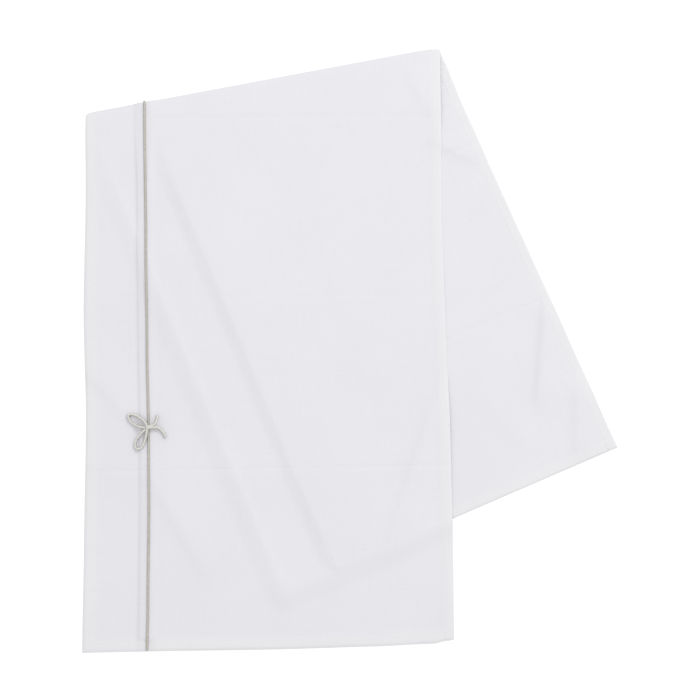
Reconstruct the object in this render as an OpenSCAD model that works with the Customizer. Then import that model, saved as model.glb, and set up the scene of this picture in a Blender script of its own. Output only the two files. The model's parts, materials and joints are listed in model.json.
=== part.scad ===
// Table runner, laid flat and folded once along a slanted line, wrong sides together.
// The lower half lies right side down on the table and the upper half lies on it right side up.
// A side band and a main panel are joined by a seam with a cord piped into it, all four edges
// are hemmed, and a bow of the same cord is tacked onto the piping of the upper half.

/* [Cloth] */
// Width of the runner
runner_w = 500; // [400:10:600]
// Length of the runner before it is folded
runner_len = 1460; // [1300:10:1800]
// Thickness of the cloth
cloth_t = 0.5; // [0.3:0.05:0.5]
// Width of a hem
hem_w = 15; // [14:1:25]
// Thickness of the two layers that a hem turns in
hem_t = 0.9; // [0.9:0.1:1.4]

/* [Fold] */
// Angle between the fold and the width of the runner
fold_angle = 11; // [5:0.5:16]
// Length of the upper half along its right edge
upper_len = 838; // [760:1:880]

/* [Piping] */
// Distance from the left edge to the middle of the piping
seam_x = 86; // [60:1:120]
// Diameter of the cord in the piping and the bow
cord_d = 3.8; // [3:0.2:4]
// Width of the seam allowance, from the middle of the piping
allowance_w = 12.5; // [8:0.5:20]

/* [Stitching] */
// Distance from an edge to its line of stitches
stitch_inset = 12.5; // [8:0.5:13]
// Width of a line of stitches
thread_w = 0.6; // [0.3:0.1:1]
// Height of a line of stitches above the cloth
thread_h = 0.15; // [0.1:0.05:0.3]

/* [Bow] */
// Distance from the end of the upper half to the middle of the bow
bow_from_end = 298; // [100:1:500]
// Distance from the middle of the piping to the knot, to the left
bow_shift = 1.5; // [0:0.1:1.8]

/* [Hidden] */
$fn = 48;

CLOTH = [0.93, 0.93, 0.94];
HEM = [0.88, 0.88, 0.90];
CORD = [0.74, 0.71, 0.65];
THREAD = [0.97, 0.97, 0.97];

// Along the runner: its right edge is x = 0 and the fold is the line y = x * tan(fold_angle).
left = -runner_w;
seam = left + seam_x;
lower_len = runner_len - upper_len;
cord_r = cord_d / 2;
// A hair of room between the cord and the cloth around it
slack = 0.05;
cord_gap = cord_r + slack;
// Outside of the cloth that arches over the lower cord
arch_r = cord_gap + cloth_t;

// Heights: the upper cloth clears the lower cord's arch by a little, hems included
upper_z = cord_d + 2 * hem_t;
upper_top = upper_z + cloth_t;
lower_hem_top = cloth_t + hem_t;
upper_cord_z = upper_z + cord_r;
// The cloth turns round this axis, which is also the hinge between the two halves
bend_z = upper_top / 2;
bend_r = upper_top / 2;
hem_bend_r = bend_r - cloth_t;
// The cord turns round an axis of its own, midway between its two runs
cord_bend_z = (upper_cord_z + cord_r) / 2;
cord_bend_r = (upper_cord_z - cord_r) / 2;
// The upper half stops this short of the fold's upright plane
fold_clearance = 0.3;

// The model's origin is below the middle of its own box
x_right = lower_len * sin(2 * fold_angle);
y_top = bend_r * cos(fold_angle);
middle = [(left + x_right) / 2, (y_top - upper_len) / 2];

// Bow, measured from the knot: across, along and above the upper cloth
knot_r = 4.9;
knot_h = 5.6;
knot_z = cord_d - cloth_t + knot_h / 2;
tack_r = 0.25;
tack_gap = cord_gap + tack_r + slack;
// The right side of the tack stitch rises this much further, to the knot's round underside
tack_rise = 0.6;
cord_sides = 8;
UPPER_LOOP = [
    [-1.2, 4.4, 7], [-4, 9, 5.2], [-9, 13.5, 3.4], [-15, 17, 2.4], [-21, 18.5, 2],
    [-26, 17, 2], [-25.5, 12, 2], [-20, 6.5, 2], [-14, 3, 2.8], [-8.5, 1.4, 4.2],
    [-4.5, 0.7, 5.2]
];
LOWER_LOOP = [
    [-3.7, -2.7, 7], [-7.5, -6.5, 5.4], [-11.5, -11.5, 3.6], [-15, -17, 2.4], [-17, -22, 2],
    [-16, -26.5, 2], [-12, -28.5, 2], [-8, -26.5, 2], [-5, -21, 2.2], [-3.5, -15, 3.2],
    [-1.8, -9.5, 4.6], [-0.7, -4.5, 5.2]
];
UPPER_TAIL = [[3.7, 2.6, 5.2], [7.5, 4, 3.6], [10.5, 7, 2.4], [12.5, 12, 2], [14.5, 18.5, 2]];
LOWER_TAIL = [
    [4.5, -0.6, 7], [9, 0, 4.8], [14, -0.5, 2.8], [18, -2.8, 2], [21.5, -7, 2], [25, -14, 2]
];

function fold_y(x) = x * tan(fold_angle);
function fold_x(x) = x / cos(fold_angle);
function unit(v) = v / norm(v);

// A smooth curve through the points p, n steps from each point to the next
function between(a, b, c, d, t) =
    0.5 * (2 * b + (c - a) * t + (2 * a - 5 * b + 4 * c - d) * t * t
        + (3 * b - a - 3 * c + d) * t * t * t);
function smooth(p, n) = [
    for (i = [0:len(p) - 2])
        for (k = [0:n - 1])
            between(p[max(i - 1, 0)], p[i], p[i + 1], p[min(i + 2, len(p) - 1)], k / n),
    p[len(p) - 1]
];

// The upper half lies as the runner does before folding
module in_upper() translate([-middle.x, -middle.y, 0]) children();

// The lower half is its mirror image across the fold
module in_lower()
    translate([-middle.x, -middle.y, 0])
        rotate(fold_angle) mirror([0, 1, 0]) rotate(-fold_angle)
            children();

// x runs along the fold and y points out of it
module in_fold() translate([-middle.x, -middle.y, 0]) rotate(fold_angle) children();

// Outline of the part of one half between x0 and x1, from end_y to the fold
module half_outline(x0, x1, end_y) {
    stop = end_y < 0 ? -fold_clearance / cos(fold_angle) : 0;
    polygon([[x0, end_y], [x1, end_y], [x1, fold_y(x1) + stop], [x0, fold_y(x0) + stop]]);
}

// A layer of cloth with that outline
module layer(x0, x1, end_y, z0, thick)
    translate([0, 0, z0]) linear_extrude(thick) half_outline(x0, x1, end_y);

// A layer across the end of a half, as deep as a hem
module end_layer(x0, x1, end_y, z0, thick)
    translate([x0, min(end_y, end_y - sign(end_y) * hem_w), z0]) cube([x1 - x0, hem_w, thick]);

// A profile, across and up, run along the whole of one half and cut at the fold
module along(end_y)
    intersection() {
        translate([0, runner_len, 0])
            rotate([90, 0, 0]) linear_extrude(2 * runner_len) children();
        translate([0, 0, -cloth_t]) linear_extrude(4 * upper_top) half_outline(left, 0, end_y);
    }

// Half a tube round the fold's axis, for the cloth between x0 and x1
module bend(x0, x1, r_out, thick)
    translate([fold_x(x0), 0, bend_z])
        rotate([90, 0, 90])
            linear_extrude(fold_x(x1) - fold_x(x0))
                difference() {
                    circle(r_out);
                    circle(r_out - thick);
                    translate([-2 * r_out, -2 * r_out]) square([2 * r_out, 4 * r_out]);
                }

// Lines of stitches along the two sides and the end of a half, broken at the cord
module stitch_lines(end_y, z0) {
    in_y = end_y - sign(end_y) * stitch_inset;
    difference() {
        union() {
            layer(left + stitch_inset, left + stitch_inset + thread_w, in_y, z0, thread_h);
            layer(-stitch_inset - thread_w, -stitch_inset, in_y, z0, thread_h);
            translate([left + stitch_inset, min(in_y, in_y - sign(end_y) * thread_w), z0])
                cube([runner_w - 2 * stitch_inset, thread_w, thread_h]);
        }
        translate([seam - arch_r - slack, in_y - 2 * thread_w, z0 - thread_h])
            cube([2 * (arch_r + slack), 4 * thread_w, 3 * thread_h]);
    }
}

// Distance from an end to where what a hem covers stops
function past_hem(end_y) = end_y - sign(end_y) * hem_w;

// Lower half
module lower_main_panel() color(CLOTH) in_lower() layer(seam + cord_gap, 0, lower_len, 0, cloth_t);

module lower_side_band() color(CLOTH) in_lower() layer(left, seam - cord_gap, lower_len, 0, cloth_t);

module lower_left_hem()
    color(HEM) in_lower() layer(left, left + hem_w, past_hem(lower_len), cloth_t, hem_t);

module lower_right_hem()
    color(HEM) in_lower() layer(-hem_w, 0, past_hem(lower_len), cloth_t, hem_t);

module lower_end_hem()
    color(HEM) in_lower() {
        end_layer(left, seam - arch_r, lower_len, cloth_t, hem_t);
        end_layer(seam + arch_r, 0, lower_len, cloth_t, hem_t);
    }

// The allowance lies on the side band and arches over the cord
module lower_seam_allowance()
    color(HEM) in_lower() {
        along(lower_len)
            translate([seam, cord_r])
                intersection() {
                    difference() {
                        circle(arch_r);
                        circle(cord_gap);
                    }
                    translate([-arch_r, cloth_t - cord_r]) square([2 * arch_r, cord_d]);
                }
        layer(seam - allowance_w, seam - arch_r, past_hem(lower_len), cloth_t, cloth_t);
    }

module lower_piping_cord()
    color(CORD) in_lower() along(lower_len) translate([seam, cord_r]) circle(cord_r);

module lower_hem_thread() color(THREAD) in_lower() stitch_lines(lower_len, lower_hem_top);

module lower_seam_thread()
    color(THREAD) in_lower()
        layer(seam - 2 * cord_r, seam - 2 * cord_r + thread_w, past_hem(lower_len),
            2 * cloth_t, thread_h);

// Fold
fold_left = left + bend_r * sin(fold_angle);

module fold_main_panel() color(CLOTH) in_fold() bend(seam + cord_gap, 0, bend_r, cloth_t);

module fold_side_band() color(CLOTH) in_fold() bend(fold_left, seam - cord_gap, bend_r, cloth_t);

module fold_left_hem() color(HEM) in_fold() bend(fold_left, left + hem_w, hem_bend_r, hem_t);

module fold_right_hem() color(HEM) in_fold() bend(-hem_w, 0, hem_bend_r, hem_t);

module fold_seam_allowance()
    color(HEM) in_fold() bend(seam - allowance_w, seam - cord_gap, hem_bend_r, cloth_t);

module fold_piping_cord()
    color(CORD) in_fold()
        translate([fold_x(seam), 0, cord_bend_z])
            rotate([0, 90, 0]) rotate_extrude(angle = 180) translate([cord_bend_r, 0]) circle(cord_r);

// Upper half
module upper_main_panel()
    color(CLOTH) in_upper() layer(seam + cord_gap, 0, -upper_len, upper_z, cloth_t);

module upper_side_band()
    color(CLOTH) in_upper() layer(left, seam - cord_gap, -upper_len, upper_z, cloth_t);

module upper_left_hem()
    color(HEM) in_upper()
        layer(left, left + hem_w, past_hem(-upper_len), upper_z - hem_t, hem_t);

module upper_right_hem()
    color(HEM) in_upper() layer(-hem_w, 0, past_hem(-upper_len), upper_z - hem_t, hem_t);

module upper_end_hem()
    color(HEM) in_upper() end_layer(left, 0, -upper_len, upper_z - hem_t, hem_t);

// The allowance lies flat under the cord and the side band
module upper_seam_allowance()
    color(HEM) in_upper()
        layer(seam - allowance_w, seam + cord_d, past_hem(-upper_len), upper_z - cloth_t, cloth_t);

module upper_piping_cord()
    color(CORD) in_upper() along(-upper_len) translate([seam, upper_cord_z]) circle(cord_r);

module upper_hem_thread() color(THREAD) in_upper() stitch_lines(-upper_len, upper_top);

module upper_seam_thread()
    color(THREAD) in_upper()
        layer(seam - 2 * cord_r, seam - 2 * cord_r + thread_w, past_hem(-upper_len),
            upper_z - cloth_t - thread_h, thread_h);

// Bow
module at_bow()
    in_upper() translate([seam - bow_shift, bow_from_end - upper_len, upper_top]) children();

// A length of cord through the points
module cord_through(points) {
    path = smooth(points, 2);
    last = len(path) - 1;
    n = cord_sides;
    polyhedron(
        points = [
            for (i = [0:last])
                let (along = unit(path[min(i + 1, last)] - path[max(i - 1, 0)]))
                let (side = unit(cross(along, [0, 0, 1])))
                let (up = cross(side, along))
                for (k = [0:n - 1])
                    path[i] + cord_r * (cos((k + 0.5) * 360 / n) * side
                        + sin((k + 0.5) * 360 / n) * up)
        ],
        faces = concat(
            [[for (k = [0:n - 1]) k]],
            [
                for (i = [0:last - 1])
                    for (k = [0:n - 1])
                        for (half = [0, 1])
                            half == 0
                                ? [i * n + k, (i + 1) * n + k, i * n + (k + 1) % n]
                                : [i * n + (k + 1) % n, (i + 1) * n + k,
                                    (i + 1) * n + (k + 1) % n]
            ],
            [[for (k = [n - 1:-1:0]) last * n + k]]
        )
    );
}

module bow_upper_loop() color(CORD) at_bow() cord_through(UPPER_LOOP);

module bow_lower_loop() color(CORD) at_bow() cord_through(LOWER_LOOP);

module bow_upper_tail() color(CORD) at_bow() cord_through(UPPER_TAIL);

module bow_lower_tail() color(CORD) at_bow() cord_through(LOWER_TAIL);

module bow_knot()
    color(CORD) at_bow()
        translate([0, 0, knot_z])
            rotate_extrude()
                intersection() {
                    union() {
                        translate([knot_r - knot_h / 2, 0]) circle(knot_h / 2);
                        translate([0, -knot_h / 2]) square([knot_r - knot_h / 2, knot_h]);
                    }
                    translate([0, -knot_h]) square([2 * knot_r, 2 * knot_h]);
                }

// Thread down both sides of the piping, from the knot to the cloth
module bow_tack_stitch()
    color(THREAD) at_bow()
        for (side = [-1, 1])
            translate([bow_shift + side * tack_gap, 0, 0])
                cylinder(r = tack_r, h = knot_z - knot_h / 2 + (side > 0 ? tack_rise : 0));

lower_main_panel();
lower_side_band();
lower_seam_allowance();
lower_left_hem();
lower_right_hem();
lower_end_hem();
lower_piping_cord();
lower_hem_thread();
lower_seam_thread();
fold_main_panel();
fold_side_band();
fold_seam_allowance();
fold_left_hem();
fold_right_hem();
fold_piping_cord();
upper_main_panel();
upper_side_band();
upper_seam_allowance();
upper_left_hem();
upper_right_hem();
upper_end_hem();
upper_piping_cord();
upper_hem_thread();
upper_seam_thread();
bow_upper_loop();
bow_lower_loop();
bow_upper_tail();
bow_lower_tail();
bow_knot();
bow_tack_stitch();
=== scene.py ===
"""A white table runner, folded over once and laid flat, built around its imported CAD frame.

Both halves are one kind of grid: lines across and along the runner, in strip coordinates, where x is 0 at
the right edge and minus the width at the left, and y is 0 where the fold meets the right edge and runs to
minus upper_len at the upper half's end and to plus lower_len at the lower half's. The lower half is the
mirror image of that strip across the fold. Each cloth piece is a block of the grid with the cloth's
thickness, so that neighbours share their edges and their normals. Lengths are in metres.
"""

import json
import math

import bpy
import numpy as np
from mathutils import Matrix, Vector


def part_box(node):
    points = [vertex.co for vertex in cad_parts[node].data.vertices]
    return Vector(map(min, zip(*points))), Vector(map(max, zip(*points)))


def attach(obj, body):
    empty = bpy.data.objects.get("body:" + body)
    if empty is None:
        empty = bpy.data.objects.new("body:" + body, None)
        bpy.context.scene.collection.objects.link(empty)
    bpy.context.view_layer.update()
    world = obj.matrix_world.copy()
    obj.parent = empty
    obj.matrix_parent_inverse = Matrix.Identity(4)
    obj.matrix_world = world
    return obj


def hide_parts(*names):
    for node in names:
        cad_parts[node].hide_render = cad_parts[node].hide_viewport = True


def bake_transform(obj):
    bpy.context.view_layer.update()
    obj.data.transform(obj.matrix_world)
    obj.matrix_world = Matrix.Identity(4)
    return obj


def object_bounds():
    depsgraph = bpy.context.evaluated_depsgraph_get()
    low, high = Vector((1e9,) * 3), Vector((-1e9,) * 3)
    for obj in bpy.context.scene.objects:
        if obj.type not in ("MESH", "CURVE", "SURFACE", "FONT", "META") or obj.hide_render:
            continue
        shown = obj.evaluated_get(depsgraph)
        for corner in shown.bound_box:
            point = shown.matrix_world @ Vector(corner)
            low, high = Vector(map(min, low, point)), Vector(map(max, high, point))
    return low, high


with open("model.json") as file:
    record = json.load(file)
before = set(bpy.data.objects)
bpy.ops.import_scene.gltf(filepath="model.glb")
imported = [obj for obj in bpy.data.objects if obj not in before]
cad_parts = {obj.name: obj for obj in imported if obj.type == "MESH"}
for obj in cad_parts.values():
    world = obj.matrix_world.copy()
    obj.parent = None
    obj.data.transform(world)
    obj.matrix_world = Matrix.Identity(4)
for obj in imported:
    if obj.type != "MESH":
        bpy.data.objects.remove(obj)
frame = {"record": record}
cad_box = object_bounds()

MM = 0.001


# -------- sizes, all read from the frame

def corners(node):
    """The lowest and highest corner of a CAD node."""
    low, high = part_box(node)
    return np.array(low), np.array(high)


joint = frame["record"]["behaviour"]["joints"][0]
hinge = np.array(joint["pos_m"])
fold_angle = math.atan2(-joint["axis"][1], -joint["axis"][0])
corner = hinge[:2]

end_low, end_high = corners("upper_end_hem")
width = end_high[0] - end_low[0]
hem_w = end_high[1] - end_low[1]
hem_t = end_high[2] - end_low[2]
upper_len = corner[1] - end_low[1]
lower_len = (corners("lower_main_panel")[1][0] - corner[0]) / math.sin(2 * fold_angle)
runner_len = upper_len + lower_len
panel_low, panel_high = corners("upper_main_panel")
cloth_t = panel_high[2] - panel_low[2]
cord_low, cord_high = corners("upper_piping_cord")
cord_d = cord_high[0] - cord_low[0]
cord_r = cord_d / 2
seam = (cord_low[0] + cord_high[0]) / 2 - corner[0]
allowance_w = seam + corner[0] - corners("upper_seam_allowance")[0][0]
stitch_inset = corners("upper_hem_thread")[0][0] - end_low[0]
knot_low, knot_high = corners("bow_knot")
knot_xy = (knot_low[:2] + knot_high[:2]) / 2
fold_top = 2 * hinge[2]

left = -width
hem_total = cloth_t + hem_t
allowance_t = 1.6 * cloth_t  # its two layers of cloth, pressed together
seam_stack = allowance_t + 0.45 * MM  # the same with the stitches on it
cord_sink = 0.5 * MM  # how far the cord sinks into the cloth over it

# The runner was packed folded in six by hand, which left five creases across it, not quite evenly
CREASE_PITCH = runner_len / 6
CREASE_SHIFTS = [d * MM for d in (-3, -7, 7, 13, 12)]
CREASES = [-upper_len + (k + 1) * CREASE_PITCH + d for k, d in enumerate(CREASE_SHIFTS)]


def smoothstep(t):
    """Goes smoothly from 0 to 1 as t does."""
    t = np.clip(t, 0, 1)
    return t * t * (3 - 2 * t)


def fold_y(x):
    """Where the fold crosses the strip at x."""
    return x * math.tan(fold_angle)


def from_fold(x, y):
    """Distance of a strip point from the fold, inwards on both halves."""
    return np.abs(y - fold_y(x)) * math.cos(fold_angle)


# -------- from the strip to the table top

def eased(at, pairs):
    """A value that goes smoothly from one of the (place, value) pairs, in millimetres, to the next."""
    places, values = np.array(pairs).T * MM
    k = np.clip(np.searchsorted(places, at) - 1, 0, len(places) - 2)
    t = (at - places[k]) / (places[k + 1] - places[k])
    return values[k] + (values[k + 1] - values[k]) * smoothstep(t)


# How far hand work leaves the left edge, the seam and the right edge from straight, by the distance from
# the fold. Both halves start from the same shifts at the fold.
UPPER_SHIFTS = (
    ((0, -2), (110, -0.8), (270, -2.5), (440, 2), (600, 0.8), (740, -0.5)),
    ((0, -5), (205, -2.7), (345, -1.1), (460, 1.2), (565, 2), (700, 0.9), (760, -0.3)),
    ((0, 1.7), (90, 1), (265, -2), (410, -1), (540, 0.8), (665, 0.6), (840, -1.6)),
)
LOWER_SHIFTS = (
    ((0, -2), (160, 0), (710, 0.5)),
    ((0, -5), (90, -8.5), (700, -9)),
    ((0, 1.7), (100, -1), (620, 0.8)),
)
# How far the upper half's end hem is from straight, by the distance from its right end
END_SHIFTS = ((0, 5.5), (8, 4), (30, 0.5), (110, -1.3), (240, -2.2), (420, -1), (500, -0.8))
# How far the fold's two rounded corners are from sharp, by the distance from the left and the right edge
LEFT_CORNER = ((0, 3), (3, 1.3), (9, 0.2), (16, 0))
RIGHT_CORNER = ((0, 4), (5, 2.4), (14, 0.8), (30, 0))
# How far from the fold the shifts still follow it, how far its corners reach, and how far the end's shifts
TIED_RUN = 120 * MM
CORNER_RUN = 30 * MM
END_RUN = 70 * MM


def shifted(x, y, shifts, inwards):
    """A strip point moved by the shifts of the left edge, the seam and the right edge.

    inwards is -1 for the upper half, which lies at smaller y than the fold, and 1 for the lower half.
    """
    away = np.abs(y - fold_y(x))
    at_left, at_seam, at_right = (eased(away, pairs) for pairs in shifts)
    outer = np.clip((x - left) / (seam - left), 0, 1)
    inner = np.clip((x - seam) / -seam, 0, 1)
    across = at_left + (at_seam - at_left) * outer + (at_right - at_seam) * inner
    tied = 1 - smoothstep(away / TIED_RUN)
    corner_pull = eased(x - left, LEFT_CORNER) + eased(-x, RIGHT_CORNER)
    pull = inwards * corner_pull * (1 - smoothstep(away / CORNER_RUN))
    moved_x = x + across - pull * math.sin(fold_angle)
    return moved_x, y + across * tied * math.tan(fold_angle) + pull * math.cos(fold_angle)


def upper_warp(x, y):
    """How hand-made and not quite square the upper half is, as a shift in the strip."""
    at_end = smoothstep(1 - (y + upper_len) / END_RUN)
    sx, sy = shifted(x, y, UPPER_SHIFTS, -1)
    return sx, sy + at_end * eased(-x, END_SHIFTS)


def lower_warp(x, y):
    """The same for the lower half."""
    return shifted(x, y, LOWER_SHIFTS, 1)


def unmoved(x, y, warp):
    """The strip point that a warp moves to x, y, near enough for shifts as small as these."""
    moved_x, moved_y = warp(x, y)
    return 2 * x - moved_x, 2 * y - moved_y


def mirrored(x, y):
    """Mirrors across the fold, which runs through the origin."""
    c, s = math.cos(2 * fold_angle), math.sin(2 * fold_angle)
    return x * c + y * s, x * s - y * c


def upper_xy(x, y):
    x, y = upper_warp(x, y)
    return corner[0] + x, corner[1] + y


def lower_xy(x, y):
    x, y = mirrored(*lower_warp(x, y))
    return corner[0] + x, corner[1] + y


# -------- heights

def edge_distance(x, y, end):
    """Distance from the nearest of the two sides and the end."""
    return np.minimum(np.minimum(x - left, -x), np.abs(end - y))


def creases(y, pairs, reach):
    """Pressed creases across the runner: each a groove between two low shoulders, never below the table."""
    total = 0
    for at, height in pairs:
        t = np.abs(y - at) / reach
        total = total + height * t * np.exp(1 - t)
    return total


WRINKLE_END = 0.3  # the share of its length over which a wrinkle dies out at either end


def wrinkles(x, y, lines):
    """Soft wrinkles along lines from a start to an end.

    Seen from its start, a wrinkle falls within its steep reach on its right and its gentle one on its left.
    """
    total = 0
    for start, end, height, steep, gentle in lines:
        start, end = np.array(start), np.array(end)
        along = end - start
        length = np.hypot(*along)
        along = along / length
        t = (x - start[0]) * along[0] + (y - start[1]) * along[1]
        d = (x - start[0]) * along[1] - (y - start[1]) * along[0]
        run = WRINKLE_END * length
        fade = smoothstep(t / run) * smoothstep((length - t) / run)
        reach = np.where(d > 0, steep, gentle) * MM
        total = total + height * MM * fade * np.exp(-((d / reach) ** 2))
    return total


def undulation(x, y, height):
    """Gentle unevenness of cloth that was only smoothed by hand: waves, none a multiple of another."""
    a = np.sin(21 * x + 3 * np.sin(7 * y)) * np.sin(17 * y + 2 * np.sin(9 * x + 1))
    b = np.sin(47 * x - 31 * y + 2.2 * np.sin(13 * y)) * np.sin(39 * y + 1.7)
    return height * (1 + 0.65 * a + 0.35 * b) / 2


# Wrinkles as start, end, and in millimetres the height and the reach on the steep and the gentle side
LOWER_WRINKLES = (
    ((-0.088, 0.547), (0.004, 0.374), 4.0, 6.5, 28),
    ((-0.002, 0.185), (-0.070, 0.105), 2.4, 10, 50),
    ((-0.060, 0.625), (-0.004, 0.50), 2.8, 9, 25),
    ((-0.105, 0.60), (-0.155, 0.43), 0.9, 14, 26),
)
UPPER_WRINKLES = (
    ((0.0, -0.455), (-0.101, -0.742), 3.8, 9, 36),
    ((-0.505, -0.445), (-0.425, -0.545), 2.0, 11, 30),
    ((-0.425, -0.58), (-0.315, -0.77), 2.2, 12, 32),
    ((-0.495, -0.18), (-0.435, -0.34), 0.9, 12, 26),
    ((-0.05, -0.02), (-0.005, -0.11), 1.4, 10, 20),
    ((-0.20, -0.74), (-0.36, -0.80), 0.8, 15, 40),
)
# How high the creases across each half are, from the upper half's end on, and how far they reach
UPPER_CREASES = list(zip(CREASES[:3], (0.45 * MM, 0.2 * MM, 0.35 * MM)))
LOWER_CREASES = [(at, 0.45 * MM) for at in CREASES[3:]]
UPPER_CREASE_RUN = 7 * MM
LOWER_CREASE_RUN = 8 * MM
HEM_RUN = 4 * MM  # how far a hem takes to thin out to the single cloth
CORNER_PRESSED = 0.4  # the share of one hem by which the two in a corner press each other flatter
LOWER_UNEVEN = 0.8 * MM
UPPER_UNEVEN = 0.5 * MM
RIDGE_REACH = 0.9 * cord_d  # how far beside the seam the cloth over the cord is half down
# The lower half stays up beside its hems and curls up at its end and its left side
HEM_BRIDGE = 0.75 * hem_t
BRIDGE_END = 4 * hem_w
BRIDGE_RUN = 2.8 * hem_w
END_CURL = 0.9 * MM
END_CURL_RUN = 2.5 * hem_w
SIDE_CURL = 0.6 * MM
SIDE_CURL_RUN = 2 * hem_w
# How far from the fold each half's unevenness starts
LOWER_LOOSE_RUN = 40 * MM
UPPER_LOOSE_RUN = 30 * MM


def lower_lift(x, y):
    """Height of the lower half's right side, which faces the table and lies on it but for the cord."""
    ridge = (cord_d - cord_sink) / (1 + ((x - seam) / RIDGE_REACH) ** 4)
    relief = undulation(x, y, LOWER_UNEVEN) + wrinkles(x, y, LOWER_WRINKLES)
    relief = relief + creases(y, LOWER_CREASES, LOWER_CREASE_RUN)
    d = edge_distance(x, y, lower_len)
    bridge = smoothstep((d - hem_w + HEM_RUN) / HEM_RUN) * smoothstep((BRIDGE_END - d) / BRIDGE_RUN)
    end_curl = smoothstep(1 - (lower_len - y) / END_CURL_RUN)
    side_curl = smoothstep(1 - (x - left) / SIDE_CURL_RUN)
    relief = relief + HEM_BRIDGE * bridge + END_CURL * end_curl + SIDE_CURL * side_curl
    return ridge + relief * smoothstep(from_fold(x, y) / LOWER_LOOSE_RUN)


def hem_layers(x, y, end, reach=hem_w, run=HEM_RUN):
    """Depth of what the hems turn in, which is nearly double in the corners."""
    side = smoothstep((reach - np.minimum(x - left, -x)) / run)
    ends = smoothstep((reach - np.abs(end - y)) / run)
    return hem_t * (side + ends - CORNER_PRESSED * side * ends)


def lower_top(x, y):
    """What the upper half lies on: the lower half's cloth, hems, seam and its thread."""
    layers = hem_layers(x, y, lower_len)
    band = (x > seam - allowance_w - Drape.STEP) & (x < seam + cord_r + Drape.STEP)
    return lower_lift(x, y) + cloth_t + np.maximum(layers, seam_stack * band)


# The fold's height where it isn't over the cord, how far it swells further in, and how far in it sags
FOLD_LOW = 4.2 * MM
FOLD_SWELL = 0.9 * MM
SWELL_RUN = 10 * MM
SAG_RUN = 180 * MM
# How far the upper half takes to come down from the cord below it, and from the lower half's edges
TENT_RUN = 170 * MM
SHOULDER = 3.7 * MM
SHOULDER_RUN = 30 * MM
SOFT_HEM = 10 * MM  # how far the upper half's own hems take to lift the cloth over them
# Where the fold goes over the cord, how wide it stays high on either side, and how far it takes to come down
OVER_CORD = seam - 5 * MM
OVER_FLAT = 4 * MM
OVER_RUN = 16 * MM


def fold_height(x):
    """Height of the fold's edge, which is highest where the cord goes over."""
    over = smoothstep(1 - (np.abs(x - OVER_CORD) - OVER_FLAT) / OVER_RUN)
    return FOLD_LOW + (fold_top - FOLD_LOW) * over


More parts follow.
